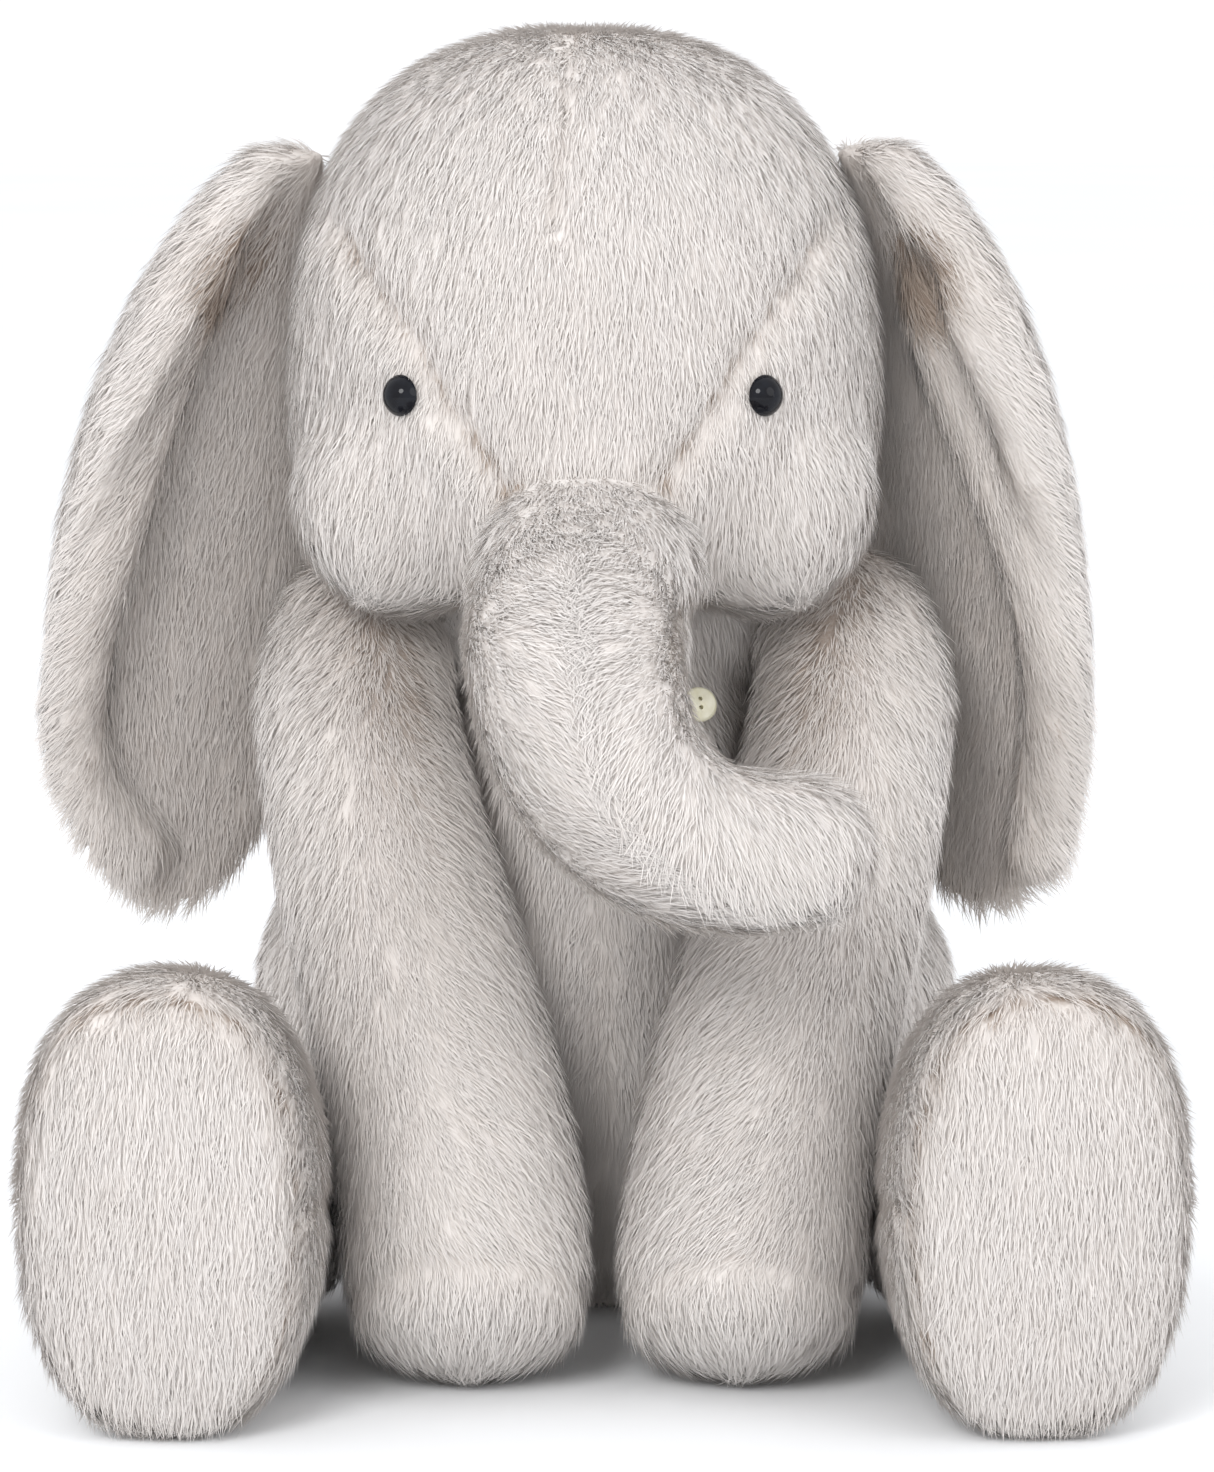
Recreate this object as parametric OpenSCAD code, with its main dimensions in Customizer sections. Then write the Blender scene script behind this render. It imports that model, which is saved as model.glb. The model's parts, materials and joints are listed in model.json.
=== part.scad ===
// Seated stuffed elephant with a hanging trunk, floppy ears and long arms resting between its legs.
// Left and right are the elephant's own: it faces -Y, so its left side is +X.
// The origin is the middle of the flat base under the body.

/* [Fabric] */
// Thickness of the fur fabric, backing and flattened pile together
fabric = 3; // [2:0.5:4]
// Gap left between the fabric and the filling inside it
lining_gap = 1; // [0.8:0.1:1.4]
// Half the gap between two sewn panels
seam_gap = 0.15; // [0.1:0.05:0.4]

/* [Body] */
// Half width of the body at its widest
body_half_width = 82; // [78:1:84]
// Half depth of the body at its widest
body_half_depth = 58; // [54:1:60]
// Radius of the flat base panel
base_radius = 44; // [36:1:48]

/* [Head] */
// Half width of the head at its widest
head_radius = 66; // [64:1:68]
// Height of the dome above the widest part of the head
head_up = 84; // [78:1:88]
// Depth of the chin below the widest part of the head
head_down = 43; // [40:1:46]
// Radius of the rounded neck inside the head
neck_radius = 26; // [22:1:28]
// Sideways place of the head's middle
head_offset = -4.5; // [-8:0.5:0]
// Diameter of each eye
eye_diameter = 9; // [7:0.5:10]

/* [Limbs] */
// Radius of the arm at the shoulder
shoulder_radius = 22; // [20:1:23]
// Radius of the arm at the paw
paw_radius = 27; // [24:1:27]
// Radius of the leg at the hip
hip_radius = 24; // [20:1:25]
// Half height of the sole
sole_half_height = 48; // [42:1:50]

/* [Details] */
// Diameter of the chest button
button_diameter = 8; // [6:0.5:10]
// Length of the tail
tail_length = 38; // [30:1:44]

/* [Hidden] */

FUR = "#cdc3bb";
FILL = "#f4f2ee";

// Where the moving pieces turn: the shoulders and the neck share one axis along X
joint_y = -16;
joint_z = 160;
shoulder_x = 54;
hip = [77, -50, 26];
// Clearance kept around every rounded joint end
joint_gap = 2.2;
// Further clearance of the filling at the sockets
filling_extra = 6;
neck_gap = 3;
// Tilt of a fully raised arm below the level, against the head nodded down, and balls standing for it
raised_tilt = 18;
raised_balls = 3;
ball_step = 12;
filling_inset = fabric + lining_gap;

head_middle = [head_offset, -23, 203];
// Exponent of the rounded-square outline of the head
head_power = 0.8;
trunk_root_radius = 25;
trunk_root = [head_offset, -95, 166];
trunk_spine = [trunk_root, trunk_root + [-4, -44, 4], trunk_root + [-4, -62, -51],
    trunk_root + [45, -50, -44]];
trunk_widths = [trunk_root_radius, 22.5, 20.5, 16];

neck = [head_offset, joint_y, joint_z];

// Arm, leg, ear and tail spines on the +X side, as cubic Bezier control points
arm_spine = [[shoulder_x, joint_y, joint_z], [66, -46, 130], [30, -82, 69], [29, -113, 20]];
arm_widths = [shoulder_radius, shoulder_radius + 0.5, paw_radius, paw_radius];
leg_spine = [hip, [88, -88, 24.5], [86, -120, 50.5], [91, -160, sole_half_height + 0.5]];
leg_widths = [hip_radius, hip_radius - 1, 31, 30.5];
leg_heights = [hip_radius, hip_radius - 4, sole_half_height + 6, sole_half_height];
// A limb: spine, widths, heights, the way of its width at both ends, depth of its rounded end as a share
// of its height, and the exponent of its outline there (1 is round, less is squarer)
side_x = [[1, 0, 0], [1, 0, 0]];
ARM = [arm_spine, arm_widths, arm_widths, side_x, 0.6, 1];
LEG = [leg_spine, leg_widths, leg_heights, side_x, 0.18, 0.8];
TRUNK = [trunk_spine, trunk_widths, trunk_widths, [[1, 0, 0], [0, 0, 1]], 1, 1];
// Spine and half widths of each ear, left then right: the right one hangs a little closer to the head
ear_spines = [
    [[64, -20, 259], [84, -13, 240], [96, 9, 160], [91, -14, 90]],
    [[65, -20, 258], [83, -13, 240], [99, 9, 160], [94, -14, 90]]
];
ear_widths = [[6, 22, 46, 22], [5, 20, 48, 22]];
// Place down the ear where its rounded end begins
ear_end = 0.8;
// How far the outer rim rolls forward, in degrees down the ear, and how round the roll is
ear_roll = [140, 150, 70, 30];
ear_roll_depth = 0.55;
// Angle that each ear is turned out, from facing straight ahead
ear_turns = [40, 28];
ear_half_thickness = 4.5;
// Half thickness of the ear at its sewn rim
ear_edge = 0.9;
tail_spine = [[0, 65, 66], [0, 71, 58], [0, 71, 44], [0, 68, 66 - tail_length]];
tail_widths = [6, 6, 6.5, 8];
TAIL = [tail_spine, tail_widths, tail_widths, side_x, 1, 1];

eye_radius = eye_diameter / 2;
shank_radius = 1.5;
washer_radius = 6.5;
washer_depth = 7;
// Place of the eyes: turn away from straight ahead and tilt above the widest part of the head
eye_turn_angle = 36;
eye_tilt_angle = 2.4;
eye_lift = 1;

button_place = [21, -45, 138];
button_way = [0.25, -1, 0.42];
button_thickness = 2.6;

// Body outline: height, half width and half depth as shares of the widest, and shift of the middle
body_outline = [
    [3.5, 0.60, 0.72, 0], [10, 0.80, 0.86, 0], [28, 0.95, 0.97, 0], [52, 1.00, 1.00, 0], [76, 0.97, 0.98, 0],
    [92, 0.88, 0.94, -1], [106, 0.79, 0.88, -4], [118, 0.70, 0.81, -7], [128, 0.60, 0.72, -10],
    [138, 0.49, 0.60, -13], [147, 0.38, 0.48, -15]
];

// The forehead gusset's edge: height over the head's middle, and turn away from straight ahead
gusset_edge = [[-9, 16], [6, 27], [21, 35], [39, 55], [53, 88], [60, 91.5], [90, 91.5]];
side_seam = 92;
gusset_low_tilt = -10.4;

// ---------------------------------------------------------------- small functions

function mix(a, b, t) = a + (b - a) * t;
function unit(v) = v / norm(v);
function signed_power(x, p) = sign(x) * pow(abs(x), p);
function steps(a, b, n) = [for (i = [0:n]) mix(a, b, i / n)];
function bezier(p, t) = let (u = 1 - t)
    p[0] * u * u * u + p[1] * 3 * u * u * t + p[2] * 3 * u * t * t + p[3] * t * t * t;
function bezier_way(p, t) = let (u = 1 - t)
    unit((p[1] - p[0]) * u * u + (p[2] - p[1]) * 2 * u * t + (p[3] - p[2]) * t * t);
function sum(v, i = 0) = i == len(v) ? 0 : v[i] + sum(v, i + 1);
function middle(ring) = [for (k = [0:2]) sum([for (p = ring) p[k]]) / len(ring)];

// Moves a point out of a ball, straight away from the ball's centre
function clear_of_ball(p, c, r) = let (d = norm(p - c)) d < r && d > 0.01 ? c + (p - c) * (r / d) : p;
// Height of a ball's top over the point p, or p's own height where the ball isn't below it
function over_ball(p, c, r) = let (d = norm([p[0] - c[0], p[1] - c[1]]))
    d < r ? [p[0], p[1], max(p[2], c[2] + sqrt(r * r - d * d))] : p;
// Moves a point back in Y until it is behind a ball
function behind_ball(p, c, r) = let (d = norm([p[0] - c[0], p[2] - c[2]]))
    d < r ? [p[0], max(p[1], c[1] + sqrt(r * r - d * d)), p[2]] : p;

// ---------------------------------------------------------------- solids from grids of points

function reversed(faces) = [for (f = faces) [f[2], f[1], f[0]]];

// A closed solid through rings of points, closed at both ends with a fan
module loft(rings) {
    n = len(rings[0]);
    m = len(rings);
    points = concat([for (ring = rings) each ring], [middle(rings[0]), middle(rings[m - 1])]);
    sides = [for (i = [0:m - 2], j = [0:n - 1]) let (a = i * n + j, b = i * n + (j + 1) % n)
        each [[a, b, b + n], [a, b + n, a + n]]];
    start = [for (j = [0:n - 1]) [m * n, (j + 1) % n, j]];
    end = [for (j = [0:n - 1]) [m * n + 1, (m - 1) * n + j, (m - 1) * n + (j + 1) % n]];
    polyhedron(points, reversed(concat(sides, start, end)));
}

// A panel of cloth between two grids of the same size, outer and inner, closed round its edges
module panel(outer, inner) {
    rows = len(outer);
    cols = len(outer[0]);
    shift = rows * cols;
    points = concat([for (row = outer) each row], [for (row = inner) each row]);
    faces_out = [for (i = [0:rows - 2], j = [0:cols - 2]) let (a = i * cols + j)
        each [[a, a + 1, a + 1 + cols], [a, a + 1 + cols, a + cols]]];
    faces_in = [for (f = faces_out) [f[0] + shift, f[2] + shift, f[1] + shift]];
    walk = concat([for (j = [0:cols - 2]) [j + 1, j]],
        [for (i = [0:rows - 2]) [i * cols, (i + 1) * cols]],
        [for (j = [0:cols - 2]) [(rows - 1) * cols + j, (rows - 1) * cols + j + 1]],
        [for (i = [0:rows - 2]) [(i + 2) * cols - 1, (i + 1) * cols - 1]]);
    walls = [for (e = walk) each [[e[0], e[1], e[1] + shift], [e[0], e[1] + shift, e[0] + shift]]];
    polyhedron(points, reversed(concat(faces_out, faces_in, walls)));
}

// Turns the +Z axis of its children to point along a direction, at a place
module aimed(place, way) {
    translate(place) rotate([0, acos(way[2] / norm(way)), atan2(way[1], way[0])]) children();
}

// ---------------------------------------------------------------- limbs

// Point of a limb's skin. Place s runs from -1, the middle of the rounded start, over 0 to 1, the spine,
// to 2, the middle of the rounded end.
function limb_point(limb, s, a, inset) = let (
    t = max(0, min(1, s)),
    q = s < 0 ? 90 * s : s > 1 ? 90 * (s - 1) : 0,
    way = bezier_way(limb[0], t),
    hint = mix(limb[3][0], limb[3][1], t),
    u = unit(hint - way * (hint * way)),
    v = cross(way, u),
    w = bezier(limb[1], t) - inset,
    h = bezier(limb[2], t) - inset,
    power = mix(1, limb[5], t),
    depth = s > 1 ? bezier(limb[2], 1) * limb[4] - inset : w)
    bezier(limb[0], t) + way * (depth * sin(q))
        + (u * (w * signed_power(cos(a), power)) + v * (h * signed_power(sin(a), power))) * cos(q);

function limb_grid(limb, places, angles, inset) =
    [for (s = places) [for (a = angles) limb_point(limb, s, a, inset)]];

start_places = [-0.97, -0.75, -0.5, -0.25, 0];
end_places = [1, 1.25, 1.5, 1.75, 1.93];
round_angles = [for (k = [0:17]) k * 20];

// The half of a limb's cover between two angles, from its rounded start to the place last
module limb_cover(limb, from_angle, last) {
    angles = steps(from_angle + 1, from_angle + 179, 9);
    places = concat(start_places, steps(0.12, 1, 9), last > 1 ? [for (s = end_places) if (s > 1) s] : []);
    panel(limb_grid(limb, places, angles, 0), limb_grid(limb, places, angles, fabric));
}

module limb_stuffing(limb) {
    places = concat(start_places, steps(0.15, 0.9, 6), end_places);
    loft(limb_grid(limb, places, round_angles, filling_inset));
}

// The rounded pad that closes a limb's end
module limb_pad(limb) {
    inner = limb_grid(limb, [1.93, 1.6, 1.3, 1.02], round_angles, fabric);
    outer = limb_grid(limb, [1.02, 1.3, 1.6, 1.93], round_angles, 0);
    loft(concat(inner, outer));
}

// ---------------------------------------------------------------- head

// Point of the head: tilt is up from the widest part, turn is round from straight ahead towards +X
function head_point(tilt, turn, inset) = let (
    r = (head_radius - inset) * pow(cos(tilt), head_power),
    up = (tilt > 0 ? head_up - inset : head_down - inset) * signed_power(sin(tilt), head_power),
    p0 = head_middle + [r * sin(turn), -r * cos(turn), up],
    gap = joint_gap + inset + (inset > fabric ? filling_extra : 0),
    p1 = over_ball(p0, neck, neck_radius + neck_gap + inset),
    p2 = over_arm(over_arm(p1, 1, gap, 0), -1, gap, 0))
    behind_ball(p2, trunk_root, trunk_root_radius + gap);

// Height over a raised arm, taken as balls along it
function raised_ball(side, i) = [side * (shoulder_x + 0.1 * i * ball_step), joint_y, joint_z]
    + [0, -cos(raised_tilt), -sin(raised_tilt)] * (i * ball_step);
function over_arm(p, side, gap, i) = i > raised_balls ? p
    : over_arm(over_ball(p, raised_ball(side, i), shoulder_radius + gap), side, gap, i + 1);

function head_height(tilt) = (tilt > 0 ? head_up : head_down) * signed_power(sin(tilt), head_power);
function gusset_turn(tilt) = lookup(head_height(tilt), gusset_edge);
// Rows of points from one turn to another, which may change with the tilt
function head_grid(tilts, lows, highs, cols, inset) =
    [for (i = [0:len(tilts) - 1]) [for (t = steps(lows[i], highs[i], cols)) head_point(tilts[i], t, inset)]];

module head_panel(tilts, lows, highs, cols) {
    panel(head_grid(tilts, lows, highs, cols, 0), head_grid(tilts, lows, highs, cols, fabric));
}

module forehead_gusset() {
    tilts = concat([gusset_low_tilt + 0.3], steps(-4, 72, 11), [80, 89.6]);
    edges = [for (t = tilts) gusset_turn(t) - 0.45];
    color(FUR) head_panel(tilts, -edges, edges, 12);
}

// side is 1 for the elephant's left and -1 for its right
module cheek(side) {
    low = steps(-86, gusset_low_tilt - 0.2, 8);
    high = concat([gusset_low_tilt], steps(-4, 36, 6));
    tilts = concat(low, high);
    inner_edge = concat([for (t = low) 0.2], [for (t = high) gusset_turn(t) + 0.1]);
    outer_edge = [for (t = tilts) side_seam - 0.3];
    color(FUR) difference() {
        if (side > 0) head_panel(tilts, inner_edge, outer_edge, 8);
        else head_panel(tilts, -outer_edge, -inner_edge, 8);
        aimed(eye_place(side), eye_way(side))
            cylinder(h = 30, r = shank_radius + 0.2, center = true, $fn = 24);
    }
}

module cheek_left() { cheek(1); }
module cheek_right() { cheek(-1); }

module head_back(side) {
    tilts = concat(steps(-86, -10, 7), steps(0, 80, 9), [89.6]);
    lows = [for (t = tilts) side > 0 ? side_seam : 180.2];
    highs = [for (t = tilts) side > 0 ? 179.8 : 360 - side_seam];
    color(FUR) head_panel(tilts, lows, highs, 8);
}

module head_back_left() { head_back(1); }
module head_back_right() { head_back(-1); }

module head_stuffing() {
    tilts = concat(steps(-84, -10, 7), steps(0, 86, 10));
    color(FILL) difference() {
        loft([for (t = tilts) [for (k = [0:23]) head_point(t, k * 15, filling_inset)]]);
        for (side = [-1, 1]) aimed(eye_place(side), eye_way(side))
            translate([0, 0, -16]) cylinder(h = 30, r = washer_radius + 0.6, $fn = 24);
    }
}

// ---------------------------------------------------------------- eyes

function eye_place(side) = head_point(eye_tilt_angle, side * eye_turn_angle, 0);
function eye_way(side) = [side * sin(eye_turn_angle), -cos(eye_turn_angle), 0.06];

module eye(side) {
    color("black") aimed(eye_place(side), eye_way(side)) {
        translate([0, 0, eye_lift]) rotate_extrude($fn = 32) intersection() {
            translate([0, -eye_radius * 0.35]) circle(r = eye_radius * 1.06, $fn = 36);
            square([eye_radius, eye_radius]);
        }
        translate([0, 0, -12]) cylinder(h = 12 + eye_lift + 0.5, r = shank_radius, $fn = 24);
    }
}

module eye_left() { eye(1); }
module eye_right() { eye(-1); }

module eye_washer(side) {
    color("white") aimed(eye_place(side), eye_way(side)) translate([0, 0, -washer_depth]) difference() {
        cylinder(h = 1.6, r = washer_radius, $fn = 32);
        translate([0, 0, -1]) cylinder(h = 4, r = shank_radius + 0.05, $fn = 24);
    }
}

module eye_washer_left() { eye_washer(1); }
module eye_washer_right() { eye_washer(-1); }

// ---------------------------------------------------------------- trunk

module trunk_top() {
    color(FUR) limb_cover(TRUNK, 0, 2);
}

module trunk_under() {
    color(FUR) limb_cover(TRUNK, 180, 2);
}

module trunk_stuffing() {
    color(FILL) limb_stuffing(TRUNK);
}

// ---------------------------------------------------------------- ears

// Point of an ear: u runs down its length, v across it from the inner edge to the outer rim, and depth is
// the distance from the middle of its thickness towards its inner face. which is 0 for left and 1 for right.
function ear_point(which, u, v, depth) = let (
    past = max(0, u - ear_end) / (1 - ear_end),
    w = bezier(ear_widths[which], u) * sqrt(1 - past * past),
    roll = bezier(ear_roll, u),
    reach = sin(min(roll, 90)),
    flat = v < 0 ? v : sin(roll * v) / reach,
    lift = v < 0 ? 0 : ear_roll_depth * (1 - cos(roll * v)) / reach,
    way = v < 0 ? [1, 0] : unit([cos(roll * v), ear_roll_depth * sin(roll * v)]),
    turn = ear_turns[which],
    across = [cos(turn), -sin(turn), 0],
    facing = [-sin(turn), -cos(turn), 0],
    spine = bezier(ear_spines[which], u))
    [head_offset + spine[0], spine[1], spine[2]]
        + across * (flat * w - depth * way[1]) + facing * (lift * w + depth * way[0]);

function ear_thickness(u, v) =
    ear_edge + (ear_half_thickness - ear_edge) * sqrt(max(0, 1 - v * v)) * min(1, 4 * (1 - u));

// One layer of an ear: face is 1 for the layer that faces inwards and -1 for the one behind it
module ear_layer(which, face) {
    rows = concat(steps(0, ear_end, 8), [0.87, 0.92, 0.96, 0.985, 0.996]);
    cols = [-1, -0.75, -0.45, -0.1, 0.2, 0.4, 0.6, 0.8, 1];
    far = [for (u = rows) [for (v = cols) ear_point(which, u, v, face * ear_thickness(u, v))]];
    near = [for (u = rows) [for (v = cols) ear_point(which, u, v, face * 0.1)]];
    if (face > 0) panel(near, far);
    else panel(far, near);
}

module on_the_right() {
    translate([2 * head_offset, 0, 0]) mirror([1, 0, 0]) children();
}

module ear_outer_left() { color(FUR) ear_layer(0, -1); }
module ear_inner_left() { color(FUR) ear_layer(0, 1); }
module ear_outer_right() { color(FUR) on_the_right() ear_layer(1, -1); }
module ear_inner_right() { color(FUR) on_the_right() ear_layer(1, 1); }

// ---------------------------------------------------------------- body

neck_tilts = [0, 22, 44, 66, 84];
arm_parts = 6;
pull_step = 0.5;
pull_steps = 80;

// Whether a point is clear of a whole arm: the distance to it, less its radius and the gap
function arm_place(side, t) = let (p = bezier(arm_spine, t)) [p[0] * side, p[1], p[2]];
function line_distance(p, a, b) =
    let (t = max(0, min(1, (p - a) * (b - a) / ((b - a) * (b - a))))) norm(p - a - (b - a) * t);
function arm_distance(p, side) = min([for (i = [0:arm_parts - 1])
    line_distance(p, arm_place(side, i / arm_parts), arm_place(side, (i + 1) / arm_parts))
        - bezier(arm_widths, (i + 1) / arm_parts)]);
// Pulls a point in towards the body's own middle until it is clear of the arm
function clear_of_arm(p, centre, side, gap, left) =
    left == 0 || norm(centre - p) < 5 || arm_distance(p, side) > gap ? p
    : clear_of_arm(p + unit(centre - p) * pull_step, centre, side, gap, left - 1);

// Point of the body on row i of its outline, or of the rounded neck above it, at an angle round from +X
function body_point(i, a, inset) = let (
    n = len(body_outline),
    row = body_outline[min(i, n - 1)],
    round_up = i < n ? 0 : neck_tilts[i - n],
    w = i < n ? body_half_width * row[1] - inset : (neck_radius - inset) * cos(round_up),
    d = i < n ? body_half_depth * row[2] - inset : (neck_radius - inset) * cos(round_up),
    x = i < n ? head_offset * max(0, row[0] - 76) / 84 : head_offset,
    y = i < n ? row[3] : joint_y,
    z = i < n ? row[0] + (i == 0 ? inset * 0.9 : 0) : joint_z + (neck_radius - inset) * sin(round_up),
    p0 = [x + w * cos(a), y + d * sin(a), z],
    side = p0[0] < 0 ? -1 : 1,
    gap = joint_gap + inset + (inset > fabric ? filling_extra : 0),
    p1 = clear_of_arm(p0, [x, y, z], side, gap, pull_steps))
    clear_of_ball(p1, [hip[0] * side, hip[1], hip[2]], hip_radius + gap);

body_rows = [for (i = [0:len(body_outline) + len(neck_tilts) - 1]) i];
function body_grid(angles, inset) = [for (i = body_rows) [for (a = angles) body_point(i, a, inset)]];

// A quarter of the body's cover, from one angle to the next
module body_quarter(from_angle) {
    angles = steps(from_angle + seam_gap, from_angle + 90 - seam_gap, 8);
    color(FUR) panel(body_grid(angles, 0), body_grid(angles, fabric));
}

module body_back_left() { body_quarter(0); }
module body_back_right() { body_quarter(90); }
module body_front_right() { body_quarter(180); }
module body_front_left() { body_quarter(270); }

// The flat panel that the elephant sits on
module body_base() {
    color(FUR) cylinder(h = fabric, r = base_radius - 1, $fn = 64);
}

module bean_pouch_shape(extra) {
    translate([0, 0, 26]) rotate_extrude($fn = 32) intersection() {
        scale([1, 0.42]) circle(r = 40 + extra, $fn = 20);
        translate([0, -60]) square([60, 120]);
    }
}

module bean_pouch() { color("tan") bean_pouch_shape(0); }

module body_stuffing() {
    color(FILL) difference() {
        loft(body_grid([for (k = [0:23]) k * 15], filling_inset));
        bean_pouch_shape(0.5);
    }
}

// ---------------------------------------------------------------- chest button

module chest_button() {
    color("ivory") aimed(button_place, button_way) difference() {
        rotate_extrude($fn = 24) hull() {
            square([0.1, button_thickness]);
            translate([button_diameter / 2 - 1, 1]) intersection() {
                circle(r = 1, $fn = 16);
                translate([0, -1]) square(2);
            }
        }
        for (x = [-1, 1]) translate([x, 0, -1]) cylinder(h = 5, r = 0.5, $fn = 12);
    }
}

module button_thread() {
    color("white") aimed(button_place, button_way) for (x = [-1, 1]) translate([x, 0, -1])
        cylinder(h = 2.2, r = 0.4, $fn = 12);
}

// ---------------------------------------------------------------- arms

module arm_front_left() { color(FUR) limb_cover(ARM, 0, 1); }
module arm_back_left() { color(FUR) limb_cover(ARM, 180, 1); }
module paw_pad_left() { color(FUR) limb_pad(ARM); }
module arm_stuffing_left() { color(FILL) limb_stuffing(ARM); }
module arm_front_right() { mirror([1, 0, 0]) arm_front_left(); }
module arm_back_right() { mirror([1, 0, 0]) arm_back_left(); }
module paw_pad_right() { mirror([1, 0, 0]) paw_pad_left(); }
module arm_stuffing_right() { mirror([1, 0, 0]) arm_stuffing_left(); }

// ---------------------------------------------------------------- legs

module leg_top_left() { color(FUR) limb_cover(LEG, 180, 1); }
module leg_under_left() { color(FUR) limb_cover(LEG, 0, 1); }
module sole_left() { color(FUR) limb_pad(LEG); }
module leg_stuffing_left() { color(FILL) limb_stuffing(LEG); }
module leg_top_right() { mirror([1, 0, 0]) leg_top_left(); }
module leg_under_right() { mirror([1, 0, 0]) leg_under_left(); }
module sole_right() { mirror([1, 0, 0]) sole_left(); }
module leg_stuffing_right() { mirror([1, 0, 0]) leg_stuffing_left(); }

// ---------------------------------------------------------------- tail

module tail() {
    places = concat(start_places, steps(0.15, 0.9, 5), end_places);
    angles = [for (k = [0:11]) k * 30];
    color(FUR) loft(limb_grid(TAIL, places, angles, 0));
}

// ---------------------------------------------------------------- nodes

forehead_gusset();
cheek_left();
cheek_right();
head_back_left();
head_back_right();
head_stuffing();
eye_left();
eye_right();
eye_washer_left();
eye_washer_right();
trunk_top();
trunk_under();
trunk_stuffing();
ear_outer_left();
ear_inner_left();
ear_outer_right();
ear_inner_right();
body_front_left();
body_front_right();
body_back_left();
body_back_right();
body_base();
body_stuffing();
bean_pouch();
chest_button();
button_thread();
arm_front_left();
arm_back_left();
paw_pad_left();
arm_stuffing_left();
arm_front_right();
arm_back_right();
paw_pad_right();
arm_stuffing_right();
leg_top_left();
leg_under_left();
sole_left();
leg_stuffing_left();
leg_top_right();
leg_under_right();
sole_right();
leg_stuffing_right();
tail();
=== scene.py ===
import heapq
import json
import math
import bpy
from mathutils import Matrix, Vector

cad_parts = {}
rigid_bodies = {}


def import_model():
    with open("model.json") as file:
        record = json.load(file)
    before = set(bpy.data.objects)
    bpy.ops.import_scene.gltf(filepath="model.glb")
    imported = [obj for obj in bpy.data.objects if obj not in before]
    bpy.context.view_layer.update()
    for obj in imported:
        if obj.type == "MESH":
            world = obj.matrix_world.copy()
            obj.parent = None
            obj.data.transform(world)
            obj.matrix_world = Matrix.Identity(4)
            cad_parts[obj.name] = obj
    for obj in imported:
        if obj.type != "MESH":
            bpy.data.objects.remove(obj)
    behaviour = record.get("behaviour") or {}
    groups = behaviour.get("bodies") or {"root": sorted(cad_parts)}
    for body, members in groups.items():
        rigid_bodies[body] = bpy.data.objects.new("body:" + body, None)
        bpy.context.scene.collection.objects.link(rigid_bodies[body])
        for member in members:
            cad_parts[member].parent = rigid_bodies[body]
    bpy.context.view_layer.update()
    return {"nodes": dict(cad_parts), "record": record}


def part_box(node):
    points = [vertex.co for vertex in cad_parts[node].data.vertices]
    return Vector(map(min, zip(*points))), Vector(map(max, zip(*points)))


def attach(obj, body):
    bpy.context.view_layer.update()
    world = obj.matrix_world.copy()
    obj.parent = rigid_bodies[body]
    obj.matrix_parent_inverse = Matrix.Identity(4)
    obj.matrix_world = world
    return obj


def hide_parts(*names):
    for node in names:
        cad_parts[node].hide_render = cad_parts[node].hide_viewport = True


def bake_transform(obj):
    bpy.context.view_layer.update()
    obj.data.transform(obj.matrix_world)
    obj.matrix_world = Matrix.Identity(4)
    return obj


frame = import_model()

# %% [markdown]
# # A stuffed elephant in pale faux fur
# The toy is sewn from panels of short dense faux fur over a firm fibre filling. This notebook makes each
# stuffed part as a smooth closed skin, finds where its panels meet, combs a nap over it and plants the
# pile as real tufts. It ends with the glossy eyes, the chest button, the light and the camera.

# %% Tools
from types import SimpleNamespace

import bmesh
import bpy
import numpy as np
from mathutils import Vector
from mathutils.bvhtree import BVHTree
from mathutils.kdtree import KDTree

nodes = frame["nodes"]
joints = {j["name"]: j for j in frame["record"]["behaviour"]["joints"]}
bodies = frame["record"]["behaviour"]["bodies"]

# %% [markdown]
# ## Colours and finishes
# The fur is a light warm grey with browner roots: the base of the pile is less bleached than its tips, so
# it shows wherever the pile parts, at seams and along the tops of the arms. Each tuft carries how far
# along the fibre a point is, so one material can run from root to tip. A second attribute says how open
# the pile is, and also carries painted shade in the ear hollows and painted light on the head's upward
# faces.

# %% Small helpers for node materials
def material(name):
    finish = bpy.data.materials.new(name)
    finish.use_nodes = True
    tree = finish.node_tree
    return finish, tree.nodes, tree.links, tree.nodes["Principled BSDF"]


def named_value(tree_nodes, name):
    n = tree_nodes.new("ShaderNodeAttribute")
    n.attribute_name = name
    return n.outputs["Fac"]


def arithmetic(tree_nodes, links, operation, a, b):
    n = tree_nodes.new("ShaderNodeMath")
    n.operation = operation
    for socket, v in zip(n.inputs, (a, b)):
        if isinstance(v, (int, float)):
            socket.default_value = v
        else:
            links.new(v, socket)
    return n.outputs[0]


def object_noise(tree_nodes, links, scale, detail=2.0):
    where = tree_nodes.new("ShaderNodeTexCoord")
    noise = tree_nodes.new("ShaderNodeTexNoise")
    noise.inputs["Scale"].default_value = scale
    noise.inputs["Detail"].default_value = detail
    links.new(where.outputs["Object"], noise.inputs["Vector"])
    return noise.outputs["Fac"]


def colour_run(tree_nodes, links, value, stops):
    run = tree_nodes.new("ShaderNodeValToRGB")
    run.color_ramp.interpolation = "EASE"
    first, last = run.color_ramp.elements
    first.position, first.color = stops[0][0], (*stops[0][1], 1)
    last.position, last.color = stops[-1][0], (*stops[-1][1], 1)
    for place, colour in stops[1:-1]:
        run.color_ramp.elements.new(place).color = (*colour, 1)
    links.new(value, run.inputs["Fac"])
    return run.outputs["Color"]


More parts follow.
